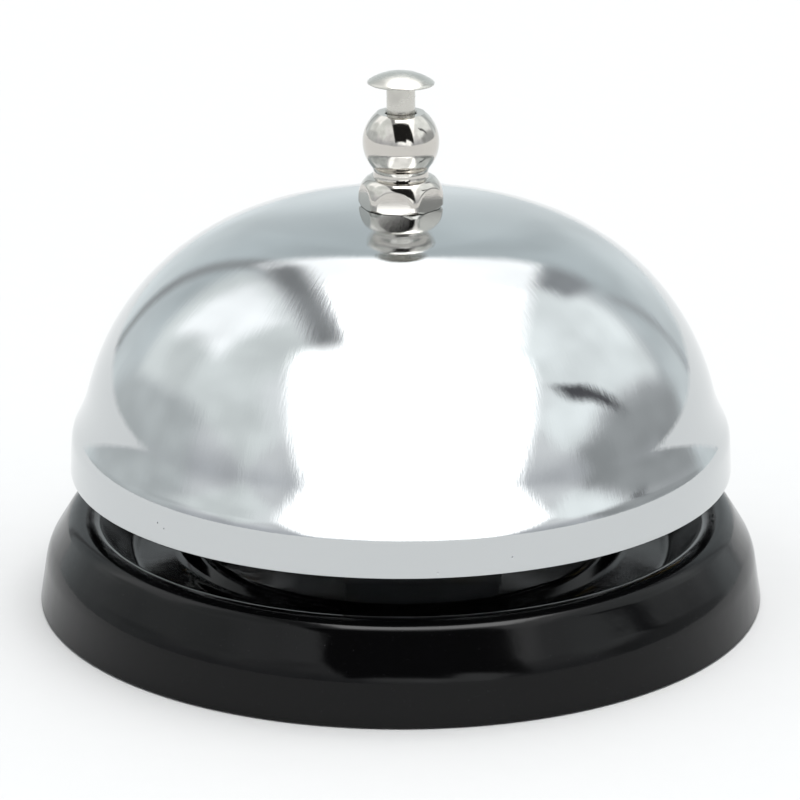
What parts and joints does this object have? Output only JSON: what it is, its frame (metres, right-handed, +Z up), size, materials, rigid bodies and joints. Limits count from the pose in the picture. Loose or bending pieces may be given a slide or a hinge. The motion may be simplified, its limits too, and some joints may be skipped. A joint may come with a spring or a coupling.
{
  "type": "service bell",
  "caption": "Counter service bell: black pressed foot, bright chromed dome with a stepped lip, ball-shaped finial nut and a sprung push button that swings a striker inside.",
  "frame": {"origin": "middle of the underside of the foot, on the counter", "axes": "+Z up along the bell's axis; +X is the side of the dome that the striker hits; -Y faces the user in the usual view"},
  "size_m": [0.085, 0.085, 0.0625],
  "materials": {
    "gloss_black": "gloss black enamel",
    "chrome": "mirror-bright chrome plate",
    "nickel": "polished nickel plate",
    "satin_nickel": "satin nickel",
    "zinc_steel": "zinc-plated steel, satin",
    "spring_steel": "spring steel",
    "brass": "turned brass",
    "red_fibre": "vulcanised fibre, matt",
    "black_rubber": "matt black rubber"
  },
  "bodies": {
    "stand": {"base_shell": "gloss_black", "base_pad": "black_rubber", "bell_dome": "chrome", "finial_nut": "nickel", "hammer_frame": "zinc_steel", "frame_rivet_1": "zinc_steel", "frame_rivet_2": "zinc_steel", "spring_seat_rivet": "zinc_steel", "center_post": "zinc_steel", "post_lock_washer": "spring_steel", "post_lock_nut": "zinc_steel", "post_seat_nut": "zinc_steel", "dome_washer": "red_fibre", "dome_support_nut": "zinc_steel", "pivot_pin": "zinc_steel", "pin_clip": "spring_steel", "return_spring": "spring_steel"},
    "plunger": {"button_cap": "satin_nickel", "plunger_rod": "satin_nickel", "plunger_clip": "spring_steel"},
    "hammer": {"hammer_lever": "zinc_steel", "hammer_head": "brass"}
  },
  "joints": [
    {"name": "button_press", "type": "slide", "parent": "stand", "child": "plunger", "axis": [0, 0, -1], "range_m": [0, 0.0028], "stiffness_N_per_m": 150, "springref_m": -0.003, "deforming": ["return_spring"]},
    {"name": "hammer_swing", "type": "hinge", "parent": "stand", "child": "hammer", "pos_m": [0.008, 0, 0.024], "axis": [0, -1, 0], "range_deg": [0, 20.1]}
  ],
  "couplings": [
    {"joint": "hammer_swing", "follows": "button_press", "rad_per_m": 125}
  ]
}
